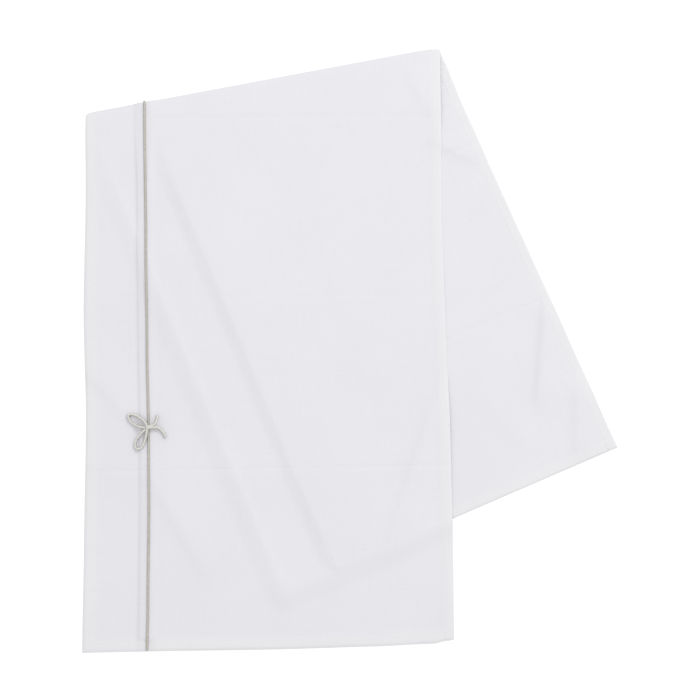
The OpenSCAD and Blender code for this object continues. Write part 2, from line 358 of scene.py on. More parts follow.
class Drape:
    """The upper half's underside, found as the shape of a stiff sheet that rests on what is below it.

    The sheet's energy is that of a bent plate under its own weight. The constraint that it stays above
    the table and the lower half is met by alternating between a smooth solve, done in the cosine basis,
    and a push back up onto the support.
    """

    STEP = 2.5 * MM
    STIFFNESS = 7 * MM  # the cloth's bending length
    PULL = 0.3 / MM  # how strongly the smooth solve is pulled to the pushed-back shape
    AHEAD = 1.6  # how far each round goes on in the direction of the last change
    ROUNDS = 450

    def __init__(self):
        low, high = np.array(cad_box[0]), np.array(cad_box[1])
        margin = 10 * self.STEP
        self.x = np.arange(low[0] - margin, high[0] + margin, self.STEP)
        self.y = np.arange(low[1] - margin, high[1] + margin, self.STEP)
        gx, gy = np.meshgrid(self.x - corner[0], self.y - corner[1], indexing="ij")
        self.height = self.solve(*self.limits(gx, gy))

    def limits(self, gx, gy):
        """The lowest and highest that each point may lie."""
        beyond = gy * math.cos(fold_angle) - gx * math.sin(fold_angle)
        sx, sy = unmoved(*mirrored(gx, gy), lower_warp)
        inside = (sx >= left) & (sx <= 0) & (sy <= lower_len) & (beyond <= 0)
        floor = np.where(inside, lower_top(sx, sy), 0)
        # The cord is narrower than the grid, so its top is made wider than a cell
        aside = sx - seam
        top = cord_d - cord_sink + cloth_t + seam_stack
        floor = np.where(inside & (np.abs(aside) < 1.1 * self.STEP), top, floor)
        # On the far side from its band the cloth is pulled straight and comes down slowly
        slope = top * (1 - smoothstep(aside / TENT_RUN)) * inside * (aside > 0)
        floor = np.maximum(floor, slope)
        # Past the lower half's edges it comes down less steeply than it could
        outside = np.hypot(np.maximum(left - sx, 0), np.maximum(sy - lower_len, 0))
        shoulder = SHOULDER * (1 - smoothstep(outside / SHOULDER_RUN))
        floor = np.where(inside | (sx > 0), floor, np.maximum(floor, shoulder))
        # The upper half's own turned-in hems lie under it
        x, y = unmoved(gx, gy, upper_warp)
        hem = hem_layers(x, y, -upper_len, hem_w + SOFT_HEM / 2, SOFT_HEM)
        floor = floor + hem * ((x > left) & (x < 0) & (y > -upper_len))
        # The fold was never pressed: it swells inwards from its edge and stands above what is inside it
        inward = np.maximum(-beyond, 0)
        swelling = FOLD_SWELL * np.sin(math.pi / 2 * np.minimum(inward / SWELL_RUN, 1))
        swell = fold_height(gx) - cloth_t + swelling
        sag = 1 - smoothstep((inward - SWELL_RUN) / SAG_RUN)
        lowest = np.maximum(floor, floor + (swell - floor) * sag)
        held = inward < SWELL_RUN
        return np.where(held, swell, lowest), np.where(held, swell, np.inf)

    def solve(self, lowest, highest):
        """The resting shape between two limits."""

        def modes(n):
            return 2 - 2 * np.cos(math.pi * np.arange(n) / n)

        bend = (modes(len(self.x))[:, None] + modes(len(self.y))[None, :]) / self.STEP**2
        bend = self.STIFFNESS**3 * bend**2
        rest = lowest.copy()
        push = np.zeros_like(rest)
        for _ in range(self.ROUNDS):
            sheet = self.pull_back(self.spread(self.PULL * (rest - push) - 1) / (bend + self.PULL))
            ahead = self.AHEAD * sheet + (1 - self.AHEAD) * rest
            moved = np.clip(ahead + push, lowest, highest)
            push += ahead - moved
            rest = moved
        return sheet

    @staticmethod
    def spread(a):
        """Cosine transform in both directions."""
        for axis in (0, 1):
            a = np.moveaxis(a, axis, 0)
            n = len(a)
            turn = np.exp(-1j * math.pi * np.arange(n) / (2 * n))[:, None]
            a = (np.fft.rfft(np.concatenate([a, a[::-1]]), axis=0)[:n] * turn).real
            a = np.moveaxis(a, 0, axis)
        return a

    @staticmethod
    def pull_back(a):
        """Its inverse."""
        for axis in (0, 1):
            a = np.moveaxis(a, axis, 0)
            n = len(a)
            turned = np.zeros((n + 1, a.shape[1]), complex)
            turned[:n] = a * np.exp(1j * math.pi * np.arange(n) / (2 * n))[:, None]
            a = np.moveaxis(np.fft.irfft(turned, n=2 * n, axis=0)[:n], 0, axis)
        return a

    def at(self, px, py):
        """The height at points on the table top, by cubic interpolation."""
        fx = (px - self.x[0]) / self.STEP
        fy = (py - self.y[0]) / self.STEP
        ix = np.clip(fx.astype(int), 1, len(self.x) - 3)
        iy = np.clip(fy.astype(int), 1, len(self.y) - 3)
        wx, wy = self.weights(fx - ix), self.weights(fy - iy)
        total = 0
        for a in range(4):
            for b in range(4):
                total = total + wx[a] * wy[b] * self.height[ix + a - 1, iy + b - 1]
        return total

    @staticmethod
    def weights(t):
        """How much each of four neighbours in a row counts, by the place between the middle two."""
        return (
            (-t + 2 * t**2 - t**3) / 2,
            (2 - 5 * t**2 + 3 * t**3) / 2,
            (t + 4 * t**2 - 3 * t**3) / 2,
            (-(t**2) + t**3) / 2,
        )


drape = Drape()

# The band's step over the allowance: how high and wide it is, what it rises on towards the cord, how far it
# takes to grow at the end hem, and how far to come down past the seam
STEP_UP = 2.0 * MM
STEP_RUN = 5.2 * MM
RISE_ON = 0.4 * MM
STEP_END_RUN = 8 * MM
STEP_DOWN_RUN = 14 * MM
# The upper half is more uneven towards its end
END_UNEVEN = 1.2 * MM
END_UNEVEN_FROM = 450 * MM
END_UNEVEN_RUN = 200 * MM
# The groove that the hem's stitches draw in
GROOVE = 0.12 * MM
GROOVE_W = 1.2 * MM
# Where both halves' seams cross they press each other flat, softly, below this height
CROSSING_TOP = fold_top + 0.2 * MM
CROSSING_SOFTNESS = 0.25 * MM


def upper_lift(x, y):
    """Height of the upper half's right side, which faces up."""
    inside = x - seam + allowance_w
    step = STEP_UP * smoothstep(inside / STEP_RUN + 0.5) + RISE_ON * np.clip(inside / allowance_w, 0, 1)
    step = step * smoothstep((y + upper_len - 0.8 * hem_w) / STEP_END_RUN)
    step = step * smoothstep(1 - (x - seam) / STEP_DOWN_RUN)
    at_end = smoothstep((-y - END_UNEVEN_FROM) / END_UNEVEN_RUN)
    relief = undulation(x + 0.3, y, UPPER_UNEVEN) + undulation(y, x, END_UNEVEN) * at_end
    relief = relief + wrinkles(x, y, UPPER_WRINKLES) + creases(y, UPPER_CREASES, UPPER_CREASE_RUN)
    groove = GROOVE * np.exp(-(((edge_distance(x, y, -upper_len) - stitch_inset) / GROOVE_W) ** 2))
    loose = smoothstep(from_fold(x, y) / UPPER_LOOSE_RUN)
    height = drape.at(*upper_xy(x, y)) + cloth_t + (step + relief - groove) * loose
    return height - CROSSING_SOFTNESS * np.logaddexp(0, (height - CROSSING_TOP) / CROSSING_SOFTNESS)


# -------- cloth pieces

def graded(start, stop, step):
    """Evenly spaced lines from start to stop, both included."""
    count = max(1, round(abs(stop - start) / step))
    return list(np.linspace(start, stop, count + 1))


# Distances from an edge where the grid has lines, fine where the hem turns and ends
HEM_LINES = [d * MM for d in (0, 0.08, 0.3, 0.65, 1.1, 1.7, 2.4, 3.2, 4.6, 7, 9.6, 11.6, 12.5)]
HEM_LINES += [hem_w - d * MM for d in (1.8, 1.2, 0.6, 0)]
CLOTH_STEP = 3.2 * MM


def across_lines():
    """x at every line across the runner, and the pairs of lines between which its pieces lie."""
    at_left = [left + d for d in HEM_LINES]
    at_right = [-d for d in reversed(HEM_LINES)]
    edge = seam - allowance_w
    near = [d * MM for d in (0.05, 0.8, 1.6, 2.4, 3.2, 4.2, 5.4, 7)]
    band = graded(left + hem_w + 1.2 * MM, edge - 3 * MM, CLOTH_STEP)
    band += [edge + d * MM for d in (-1.6, -0.8, 0, 0.8, 1.6)]
    band += graded(edge + 3 * MM, seam - 8.5 * MM, 2.5 * MM) + [seam - d for d in reversed(near)]
    main = [seam + d for d in near] + graded(seam + 10 * MM, -hem_w - 1.2 * MM, CLOTH_STEP)
    lines = np.array(at_left + band + main + at_right)
    hem, last = len(at_left) - 1, len(lines) - 1
    middle = len(at_left) + len(band)
    pairs = {
        "left_hem": (0, hem),
        "side_band": (hem, middle - 1),
        "seam_allowance": (int(np.argmin(np.abs(lines - edge))), middle + 1),
        "main_panel": (middle, last - hem),
        "right_hem": (last - hem, last),
        "all": (0, last),
    }
    return lines, pairs


def along_lines(end):
    """y at every line along one half, from its end to the fold, and the line where its end hem stops.

    Near the fold the lines spread out like a fan, from square across the runner to along the fold.
    """
    inwards = 1 if end < 0 else -1
    fan_start = fold_y(left) - 4 * MM if end < 0 else 4 * MM
    hem = [end + inwards * d for d in HEM_LINES]
    body = graded(hem[-1] + inwards * 1.2 * MM, fan_start, CLOTH_STEP)
    for at in CREASES:
        if min(body) + 4 * MM < at < max(body) - 4 * MM:
            body = [y for y in body if abs(y - at) > 3.2 * MM]
            body += [at + d * MM for d in (-2.4, -1.2, 0, 1.2, 2.4)]
    rows = np.array(hem + sorted(body, reverse=bool(end > 0)))
    share = np.arange(1, FAN_ROWS + 1) / FAN_ROWS
    fan = rows[-1] + share * (fold_y(xs)[:, None] - rows[-1])
    return np.concatenate([np.broadcast_to(rows, (len(xs), len(rows))), fan], axis=1), len(hem) - 1


# How far in from its edge each half's cloth is rounded
UPPER_RIM = 4.2 * MM
LOWER_RIM = 2.8 * MM
FAN_ROWS = 30
FOLD_ROWS = 14
xs, columns = across_lines()
upper_y, upper_hem_row = along_lines(-upper_len)
lower_y, lower_hem_row = along_lines(lower_len)
UP = np.array([0, 0, 1.0])
OUT = np.array([-math.sin(fold_angle), math.cos(fold_angle), 0])


def half_grid(y, to_table, lift, lean):
    """One half's points on the cloth's right side, with the direction that side faces."""
    x = np.broadcast_to(xs[:, None], y.shape)
    px, py = to_table(x, y)
    points = np.stack([px, py, lift(x, y)], axis=-1)
    return x, y, points, np.broadcast_to(lean, points.shape)


def fold_grid(top, bottom):
    """The half circles that the cloth's right side makes from the upper half to the lower one."""
    turn = np.linspace(math.pi / 2, -math.pi / 2, FOLD_ROWS + 2)[1:-1]
    lean = np.cos(turn)[:, None] * OUT + np.sin(turn)[:, None] * UP
    radius = (top[:, 2] - bottom[:, 2]) / 2
    points = ((top + bottom) / 2)[:, None] + radius[:, None, None] * lean
    x = np.broadcast_to(xs[:, None], points.shape[:2])
    return x, fold_y(x), points, np.broadcast_to(lean, points.shape)


def whole_grid():
    """The runner from the upper half's end to the lower half's, as arrays of x, y, point and lean."""
    upper = half_grid(upper_y, upper_xy, upper_lift, UP)
    lower = half_grid(lower_y, lower_xy, lower_lift, -UP)
    fold = fold_grid(upper[2][:, -1], lower[2][:, -1])
    lower = [a[:, ::-1] for a in lower]
    return [np.concatenate(parts, axis=1) for parts in zip(upper, fold, lower)]


def grid_normals(points):
    """Normals of a grid of points, on the side that the right side of the cloth faces."""
    n = np.cross(np.gradient(points, axis=0), np.gradient(points, axis=1))
    return n / np.maximum(np.linalg.norm(n, axis=-1, keepdims=True), 1e-12)


grid_x, grid_y, grid_points, grid_lean = whole_grid()
row_marks = np.cumsum([0, upper_y.shape[1] - 1, FOLD_ROWS + 1, lower_y.shape[1] - 1])
rows = {
    "upper_end": (0, upper_hem_row),
    "upper": (upper_hem_row, row_marks[1]),
    "fold": (row_marks[1], row_marks[2]),
    "lower": (row_marks[2], row_marks[3] - lower_hem_row),
    "lower_end": (row_marks[3] - lower_hem_row, row_marks[3]),
}

# Distance along the cloth, which goes round the fold
grid_run = grid_y.copy()
grid_run[:, row_marks[1] : row_marks[2]] += np.linspace(0, math.pi * hinge[2], FOLD_ROWS + 1)
grid_run[:, row_marks[2] :] += math.pi * hinge[2]

# How far each point is from the runner's edge, and how deep its hems are there
on_upper = np.arange(grid_x.shape[1]) < (row_marks[1] + row_marks[2]) / 2
grid_end = np.where(on_upper, -upper_len, lower_len)
grid_hem = hem_layers(grid_x, grid_y, grid_end)
grid_rim = np.where(on_upper, UPPER_RIM, LOWER_RIM)
near_edge = np.clip(edge_distance(grid_x, grid_y, grid_end) / grid_rim, 0, 1)
round_edge = 1 - np.sqrt(1 - (1 - near_edge) ** 2)
ROUND_SHARE = 0.2  # how much of the edge's shape is a quarter circle, the rest being a softer curve
rounding = ROUND_SHARE * round_edge + (1 - ROUND_SHARE) * (1 - smoothstep(near_edge))
rounding = 0.95 * hem_total * rounding

# The rounded edge slopes down mostly on the side away from the table, which is the right side of the
# upper half and the wrong side of the lower one
FROM_BELOW = 0.15  # the share of the rounding on the side towards the table
rows_up = row_marks[1] - np.arange(grid_x.shape[1])
from_above = FROM_BELOW + (1 - 2 * FROM_BELOW) * np.clip(1 + rows_up / (FOLD_ROWS + 1), 0, 1)
grid_turn = rounding * from_above
back_turn = rounding * (1 - from_above)


def layer(depth):
    """The runner's points at a depth below the cloth's right side."""
    return grid_points - depth[..., None] * grid_lean


CLOTH_FACE = layer(grid_turn)
CLOTH_NORMALS = grid_normals(CLOTH_FACE)


def new_object(name, data):
    """An object for a mesh, a lamp or a camera, in the scene."""
    obj = bpy.data.objects.new(name, data)
    bpy.context.scene.collection.objects.link(obj)
    return obj


def make_mesh(name, points, faces, uv=None, normals=None, flat_from=None):
    """A smooth mesh, with the weave's coordinates and the normals of its points if they are given.

    Where normals are given, the faces from flat_from on, which are the piece's rim, are shaded flat.
    """
    mesh = bpy.data.meshes.new("soft_" + name)
    mesh.from_pydata(points.tolist(), [], faces)
    mesh.polygons.foreach_set("use_smooth", [True] * len(mesh.polygons))
    vertex = np.zeros(len(mesh.loops), int)
    mesh.loops.foreach_get("vertex_index", vertex)
    if uv is not None:
        mesh.uv_layers.new(name="weave").data.foreach_set("uv", uv[vertex].ravel())
    if normals is not None:
        at_corners = normals[vertex]
        q = points[np.array(faces[flat_from:])]
        flat = np.cross(q[:, 2] - q[:, 0], q[:, 3] - q[:, 1])
        flat /= np.maximum(np.linalg.norm(flat, axis=1, keepdims=True), 1e-12)
        at_corners[4 * flat_from :] = np.repeat(flat, 4, axis=0)
        mesh.normals_split_custom_set(at_corners.tolist())
    return new_object(mesh.name, mesh)


def grid_faces(n, m, offset, flip=False):
    """Quads of an n by m grid of vertices."""
    i, j = np.meshgrid(np.arange(n - 1), np.arange(m - 1), indexing="ij")
    a = (i * m + j).ravel() + offset
    quads = np.stack([a, a + m, a + m + 1, a + 1], axis=1)
    return quads[:, ::-1] if flip else quads


def rim(n, m):
    """The grid's outer vertices in order round it."""
    grid = np.arange(n * m).reshape(n, m)
    return np.concatenate([grid[:-1, 0], grid[-1, :-1], grid[:0:-1, -1], grid[0, :0:-1]])


def cloth_piece(name, across, along, top, bottom):
    """A closed piece of cloth: the grid's block between two pairs of lines, from one depth to another."""
    part = np.s_[across[0] : across[1] + 1, along[0] : along[1] + 1]
    outer, inner = layer(top), layer(bottom)
    outer_normals = CLOTH_NORMALS if top is grid_turn else grid_normals(outer)
    n, m = grid_x[part].shape
    points = np.concatenate([side[part].reshape(-1, 3) for side in (outer, inner)])
    normals = [side[part].reshape(-1, 3) for side in (outer_normals, -grid_normals(inner))]
    loop = rim(n, m)
    after = np.roll(loop, -1)
    wall = np.stack([loop, loop + n * m, after + n * m, after], axis=1)
    faces = [grid_faces(n, m, 0), grid_faces(n, m, n * m, flip=True), wall]
    weave = np.stack([grid_x[part], grid_run[part]], axis=-1).reshape(-1, 2)
    return make_mesh(
        name,
        points,
        np.concatenate(faces).tolist(),
        np.concatenate([weave, weave]),
        np.concatenate(normals),
        flat_from=2 * (n - 1) * (m - 1),
    )


def settle(obj, region, slot="cloth", material=None):
    """Gives a piece its material and its motion, and lets it stand for the CAD node of its name."""
    obj.data.materials.append(materials[material or slot])
    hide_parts(obj.name.removeprefix("soft_"))
    if region == "fold":
        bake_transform(obj)
    else:
        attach(obj, region + "_half")
    return obj


# -------- materials

def new_material(name):
    material = bpy.data.materials.new(name)
    material.use_nodes = True
    return material, material.node_tree, material.node_tree.nodes["Principled BSDF"]


def set_inputs(tree, node, inputs):
    """Sets a node's inputs to values, or links them where they are another node's outputs."""
    for name, value in inputs.items():
        if isinstance(value, bpy.types.NodeSocket):
            tree.links.new(value, node.inputs[name])
        else:
            node.inputs[name].default_value = value
    return node


def new_node(tree, kind, inputs):
    return set_inputs(tree, tree.nodes.new("ShaderNode" + kind), inputs)


def math_node(tree, operation, *values):
    node = new_node(tree, "Math", dict(enumerate(values)))
    node.operation = operation
    return node.outputs[0]


def noise_node(tree, vector, scale, detail=2.0):
    node = new_node(tree, "TexNoise", {"Scale": scale, "Detail": detail, "Vector": vector})
    return node.outputs["Fac"]


def ramp_node(tree, factor, *stops):
    node = new_node(tree, "ValToRGB", {"Fac": factor})
    ramp = node.color_ramp
    for k, (at, colour) in enumerate(stops):
        element = ramp.elements[k] if k < 2 else ramp.elements.new(at)
        element.position = at
        element.color = (*colour, 1)
    return node.outputs["Color"]


def with_painted_shade(tree, colour, factor, *stops):
    """A colour made darker by a grey ramp along a factor, as painted shade."""
    grey = ramp_node(tree, factor, *((at, (value, value, value)) for at, value in stops))
    mix = new_node(tree, "Mix", {"Factor": 1.0})
    mix.data_type = "RGBA"
    mix.blend_type = "MULTIPLY"
    colour_inputs = [socket for socket in mix.inputs if socket.type == "RGBA"]
    tree.links.new(colour, colour_inputs[0])
    tree.links.new(grey, colour_inputs[1])
    return next(socket for socket in mix.outputs if socket.type == "RGBA")


def stretched(tree, vector, x, y):
    node = new_node(tree, "Mapping", {"Scale": (x, y, 1), "Vector": vector})
    return node.outputs["Vector"]


def weave_place(tree):
    """The weave's coordinates, in metres, together and apart."""
    uv = new_node(tree, "UVMap", {})
    uv.uv_map = "weave"
    split = new_node(tree, "SeparateXYZ", {0: uv.outputs["UV"]})
    return uv.outputs["UV"], split.outputs[0], split.outputs[1]


def bumped(tree, height, strength, distance):
    """A normal that shows a height as relief."""
    bump = new_node(tree, "Bump", {"Strength": strength, "Distance": distance, "Height": height})
    return bump.outputs["Normal"]


# Painted shade along the seam: the white cloth is made greyer at the allowance's edge and beside the piping,
# where the steps over them are in shade. How bright it is at a distance from the piping, in millimetres
ALLOWANCE_EDGE = -allowance_w / MM
SEAM_PAINTED_SHADE = (
    (ALLOWANCE_EDGE - 5, 1), (ALLOWANCE_EDGE - 1, 0.968), (ALLOWANCE_EDGE + 2.5, 0.964),
    (ALLOWANCE_EDGE + 6, 0.985), (-4, 0.982), (0, 0.965), (4, 0.972), (13, 1),
)
SEAM_ZONE = 50  # the tint's reach on both sides of the piping
YARNS_PER_M = 1700


def cloth_material(name, dark, light):
    """Plain weave in white cotton: crossed yarns, some of them thicker, on a slightly uneven white, with
    painted shade along the seam.
    """
    material, tree, shader = new_material(name)
    where, across, along = weave_place(tree)
    turn = math.pi * YARNS_PER_M
    warp = math_node(tree, "SINE", math_node(tree, "MULTIPLY", across, turn))
    weft = math_node(tree, "SINE", math_node(tree, "MULTIPLY", along, turn))
    over = math_node(tree, "MULTIPLY", warp, weft)
    slub_warp = noise_node(tree, stretched(tree, where, 900, 22), 1.0)
    slub_weft = noise_node(tree, stretched(tree, where, 22, 900), 1.0)
    slubs = math_node(tree, "ADD", slub_warp, slub_weft)
    height = math_node(tree, "ADD", math_node(tree, "MULTIPLY", over, 0.25), slubs)
    cloudy = noise_node(tree, stretched(tree, where, 9, 9), 1.0, 4.0)
    mixed = math_node(tree, "MULTIPLY", slubs, 0.35)
    mixed = math_node(tree, "ADD", mixed, math_node(tree, "MULTIPLY", cloudy, 0.3))
    colour = ramp_node(tree, mixed, (0.30, dark), (0.70, light))
    # Painted shade along the seam: darker at the allowance's edge and beside the piping
    place = math_node(tree, "SUBTRACT", across, seam - SEAM_ZONE * MM)
    place = math_node(tree, "DIVIDE", place, 2 * SEAM_ZONE * MM)
    stops = [((at / SEAM_ZONE + 1) / 2, value) for at, value in SEAM_PAINTED_SHADE]
    colour = with_painted_shade(tree, colour, place, *stops)
    set_inputs(tree, shader, {
        "Base Color": colour,
        "Normal": bumped(tree, height, 0.35, 0.12 * MM),
        "Roughness": 0.92,
        "Specular IOR Level": 0.15,
        "Sheen Weight": 0.05,
        "Sheen Roughness": 0.6,
    })
    return material


STRANDS = 3
TWIST = 7.5 * MM  # length of one turn of a strand
STRAND_DEPTH = 0.16  # how deep the grooves between the strands are, as a share of the radius
CORD_SIDES = 16


def cord_material(name, dark, light):
    """Cord of fine fibres that follow its twist, with painted shade on its flanks."""
    material, tree, shader = new_material(name)
    where, along, round_about = weave_place(tree)
    fibres = noise_node(tree, stretched(tree, where, 30, 600), 1.0, 3.0)
    colour = ramp_node(tree, fibres, (0.35, dark), (0.65, light))
    # Painted shade: its flanks are made dark. The angle round the cord is the twisted coordinate turned back
    # along it
    turned = math_node(tree, "MULTIPLY", along, 2 * math.pi / TWIST)
    round_it = math_node(tree, "MULTIPLY", round_about, 1 / cord_r)
    height = math_node(tree, "SINE", math_node(tree, "ADD", turned, round_it))
    flank_shade = math_node(tree, "ABSOLUTE", height)
    colour = with_painted_shade(tree, colour, flank_shade, (0.45, 0.62), (0.88, 1))
    set_inputs(tree, shader, {
        "Base Color": colour,
        "Normal": bumped(tree, fibres, 0.5, 0.1 * MM),
        "Roughness": 0.62,
        "Sheen Weight": 0.3,
    })
    return material


def thread_material():
    """White sewing thread."""
    material, tree, shader = new_material("white_thread")
    place = new_node(tree, "TexCoord", {})
    fibres = noise_node(tree, place.outputs["Object"], 1500.0)
    colour = ramp_node(tree, fibres, (0.3, (0.78, 0.78, 0.80)), (0.7, (0.86, 0.86, 0.88)))
    set_inputs(tree, shader, {"Base Color": colour, "Roughness": 0.6})
    return material


def floor_material():
    """A plain bright floor, as in a studio: burnt out to white in the picture, and less bright than that
    as the surroundings that light the cloth from below."""
    material, tree, shader = new_material("studio_floor")
    set_inputs(tree, shader, {
        "Base Color": (0.3, 0.3, 0.3, 1),
        "Roughness": 1.0,
        "Specular IOR Level": 0.0,
    })
    seen = new_node(tree, "Emission", {"Strength": 1.05}).outputs[0]
    ray = new_node(tree, "LightPath", {}).outputs["Is Camera Ray"]
    mix = new_node(tree, "MixShader", {0: ray, 1: shader.outputs[0], 2: seen})
    set_inputs(tree, tree.nodes["Material Output"], {"Surface": mix.outputs[0]})
    return material


materials = {
    "cloth": cloth_material("white_plain_weave", (0.762, 0.756, 0.792), (0.803, 0.794, 0.834)),
    # The hems' cloth is a lighter copy of the runner's cloth: painted light, for the light that their extra
    # layers give back
    "hem": cloth_material("white_hem_cloth", (0.772, 0.769, 0.788), (0.813, 0.807, 0.830)),
    "cord": cord_material("greige_cord", (0.45, 0.43, 0.375), (0.59, 0.565, 0.495)),
    # The bow is tied from the piping's cord: its paler copy is painted light, for the bow standing up from
    # the cloth into the light
    "bow_cord": cord_material("pale_cord", (0.61, 0.595, 0.555), (0.79, 0.775, 0.725)),
    "thread": thread_material(),
}


# -------- cord

def carried_sides(tangent):
    """A direction square to the path at each point, carried along it so that it doesn't spin."""
    side = np.zeros_like(tangent)
    start = np.cross(tangent[0], UP)
    side[0] = start / np.linalg.norm(start)
    for k in range(1, len(tangent)):
        s = side[k - 1] - tangent[k] * (side[k - 1] @ tangent[k])
        side[k] = s / np.linalg.norm(s)
    return side


def distance_along(path):
    """How far along a path each of its points is."""
    return np.concatenate([[0], np.cumsum(np.linalg.norm(np.diff(path, axis=0), axis=1))])


def cord_rings(path, radius):
    """Rings of a twisted cord along a path, with a lobe for each strand, and the weave's coordinates."""
    tangent = np.gradient(path, axis=0)
    tangent /= np.linalg.norm(tangent, axis=1, keepdims=True)
    run = distance_along(path)
    side = carried_sides(tangent)
    up = np.cross(side, tangent)
    angle = np.arange(CORD_SIDES) * 2 * math.pi / CORD_SIDES
    phase = angle[None, :] - run[:, None] * 2 * math.pi / TWIST
    r = np.asarray(radius).reshape(-1, 1) * (1 - STRAND_DEPTH * (1 - np.abs(np.cos(STRANDS / 2 * phase))))
    rings = path[:, None] + (r * np.cos(angle))[..., None] * side[:, None]
    rings = rings + (r * np.sin(angle))[..., None] * up[:, None]
    weave = np.stack([np.broadcast_to(run[:, None], phase.shape), phase * cord_r], axis=-1)
    return rings, weave


def ring_faces(count, n):
    """Quads between a number of rings of n points each."""
    ring, k = np.meshgrid(np.arange(count - 1), np.arange(n), indexing="ij")
    a, b = (ring * n + k).ravel(), (ring * n + (k + 1) % n).ravel()
    return np.stack([a, b, b + n, a + n], axis=1)


def tube(name, rings, weave):
    """A closed tube through rings of points."""
    count, n = rings.shape[:2]
    ends = [list(range(n - 1, -1, -1)), list(range((count - 1) * n, count * n))]
    faces = ring_faces(count, n).tolist() + ends
    return make_mesh(name, rings.reshape(-1, 3), faces, weave.reshape(-1, 2))


def rounded(run, radius):
    """A cord's radius along it, rounded off over its first and last half diameter."""
    t = np.clip(np.minimum(run, run[-1] - run) / radius, 0, 1)
    return radius * np.sqrt(np.maximum(1 - (1 - t) ** 2, 0.02))


def evenly(path, step):
    """Points evenly spaced along a path."""
    run = distance_along(path)
    at = np.linspace(0, run[-1], max(2, int(run[-1] / step) + 1))
    return np.stack([np.interp(at, run, path[:, k]) for k in range(3)], axis=1)


def smooth_path(points, per_span=12):
    """A Catmull-Rom curve through listed points."""
    p = np.asarray(points, float)
    p = np.concatenate([p[:1], p, p[-1:]])
    out = []
    for a, b, c, d in zip(p, p[1:], p[2:], p[3:]):
        for t in np.arange(per_span) / per_span:
            out.append(b + (c - a) * t / 2 + (a - 2.5 * b + 2 * c - d / 2) * t**2
                       + (1.5 * (b - c) + (d - a) / 2) * t**3)
    return np.array(out + [p[-1]])


# -------- the pieces of cloth

# How deep the wrong side lies below the right side, in the single cloth and in the hems
under_cloth = np.full_like(grid_x, cloth_t)
under_hem = cloth_t + grid_hem - back_turn


def declare_sheets(pieces):
    """Gathers, for each panel and band, the pieces sewn on it or going on from it; the lists are not used
    further.
    """
    for name, extras in (("main_panel", ("right_hem", "seam_allowance")), ("side_band", ("left_hem",))):
        for region in ("upper", "lower"):
            sewn = [pieces[f"{region}_{extra}"] for extra in extras]
            if name == "main_panel":
                sewn.append(pieces[region + "_end_hem"])
            if region == "upper":
                sewn += [pieces[f"fold_{extra}"] for extra in (name, *extras)]


def make_cloth():
    """Panels, bands and hems of the upper half, the fold and the lower half."""
    pieces = {}
    for region in ("upper", "fold", "lower"):
        along = rows[region]
        for name, depth in (
            ("main_panel", under_cloth),
            ("side_band", under_cloth),
            ("left_hem", under_hem),
            ("right_hem", under_hem),
        ):
            full = f"{region}_{name}"
            piece = cloth_piece(full, columns[name], along, grid_turn, depth)
            pieces[full] = settle(piece, region, material="hem" if name.endswith("hem") else "cloth")
        full = region + "_seam_allowance"
        allowance = under_cloth + allowance_t
        piece = cloth_piece(full, columns["seam_allowance"], along, under_cloth, allowance)
        pieces[full] = settle(piece, region)
    for region in ("upper", "lower"):
        full = region + "_end_hem"
        piece = cloth_piece(full, columns["all"], rows[region + "_end"], grid_turn, under_hem)
        pieces[full] = settle(piece, region, material="hem")
    declare_sheets(pieces)


# -------- piping

PIPING_R = 0.88 * cord_r  # the seam squeezes the cord
PIPING_SINK = 0.8 * MM  # how deep it lies between the cloth beside it, measured at these two distances
PIPING_BESIDE = (-2 * MM, 2.5 * MM)
PIPING_SHORT = 1.2 * MM  # how far it stops from the runner's ends


def piping_path():
    """The middle of the cord from the upper half's end, round the fold, to the lower half's end."""
    step = 0.8 * MM
    ys = np.arange(-upper_len + PIPING_SHORT, fold_y(seam), step)
    px, py = upper_xy(np.full_like(ys, seam), ys)
    beside = np.maximum(*(upper_lift(np.full_like(ys, seam + d), ys) for d in PIPING_BESIDE))
    upper = np.stack([px, py, beside - PIPING_SINK + PIPING_R], axis=1)
    ys = np.arange(lower_len - PIPING_SHORT, fold_y(seam), -step)[::-1]
    px, py = lower_xy(np.full_like(ys, seam), ys)
    lower = np.stack([px, py, np.full_like(px, cord_r)], axis=1)
    foot = np.array([*upper_xy(seam, fold_y(seam)), 0])
    high, low = upper[-1, 2], cord_r
    radius = (high - low) / 2
    turn = np.arange(math.pi / 2, -math.pi / 2, -step / radius)[1:]
    bend = foot + UP * (high + low) / 2 + radius * (
        np.cos(turn)[:, None] * OUT + np.sin(turn)[:, None] * UP
    )
    return np.concatenate([upper, bend, lower]), len(upper), len(upper) + len(bend)


def make_piping():
    """The cord's three stretches, which are parts of one tube."""
    path, first, last = piping_path()
    run = distance_along(path)
    rings, weave = cord_rings(path, rounded(run, PIPING_R))
    for region, a, b in (("upper", 0, first + 1), ("fold", first, last + 1), ("lower", last, None)):
        piece = tube(f"{region}_piping_cord", rings[a:b], weave[a:b])
        settle(piece, region, "cord")


# -------- bow

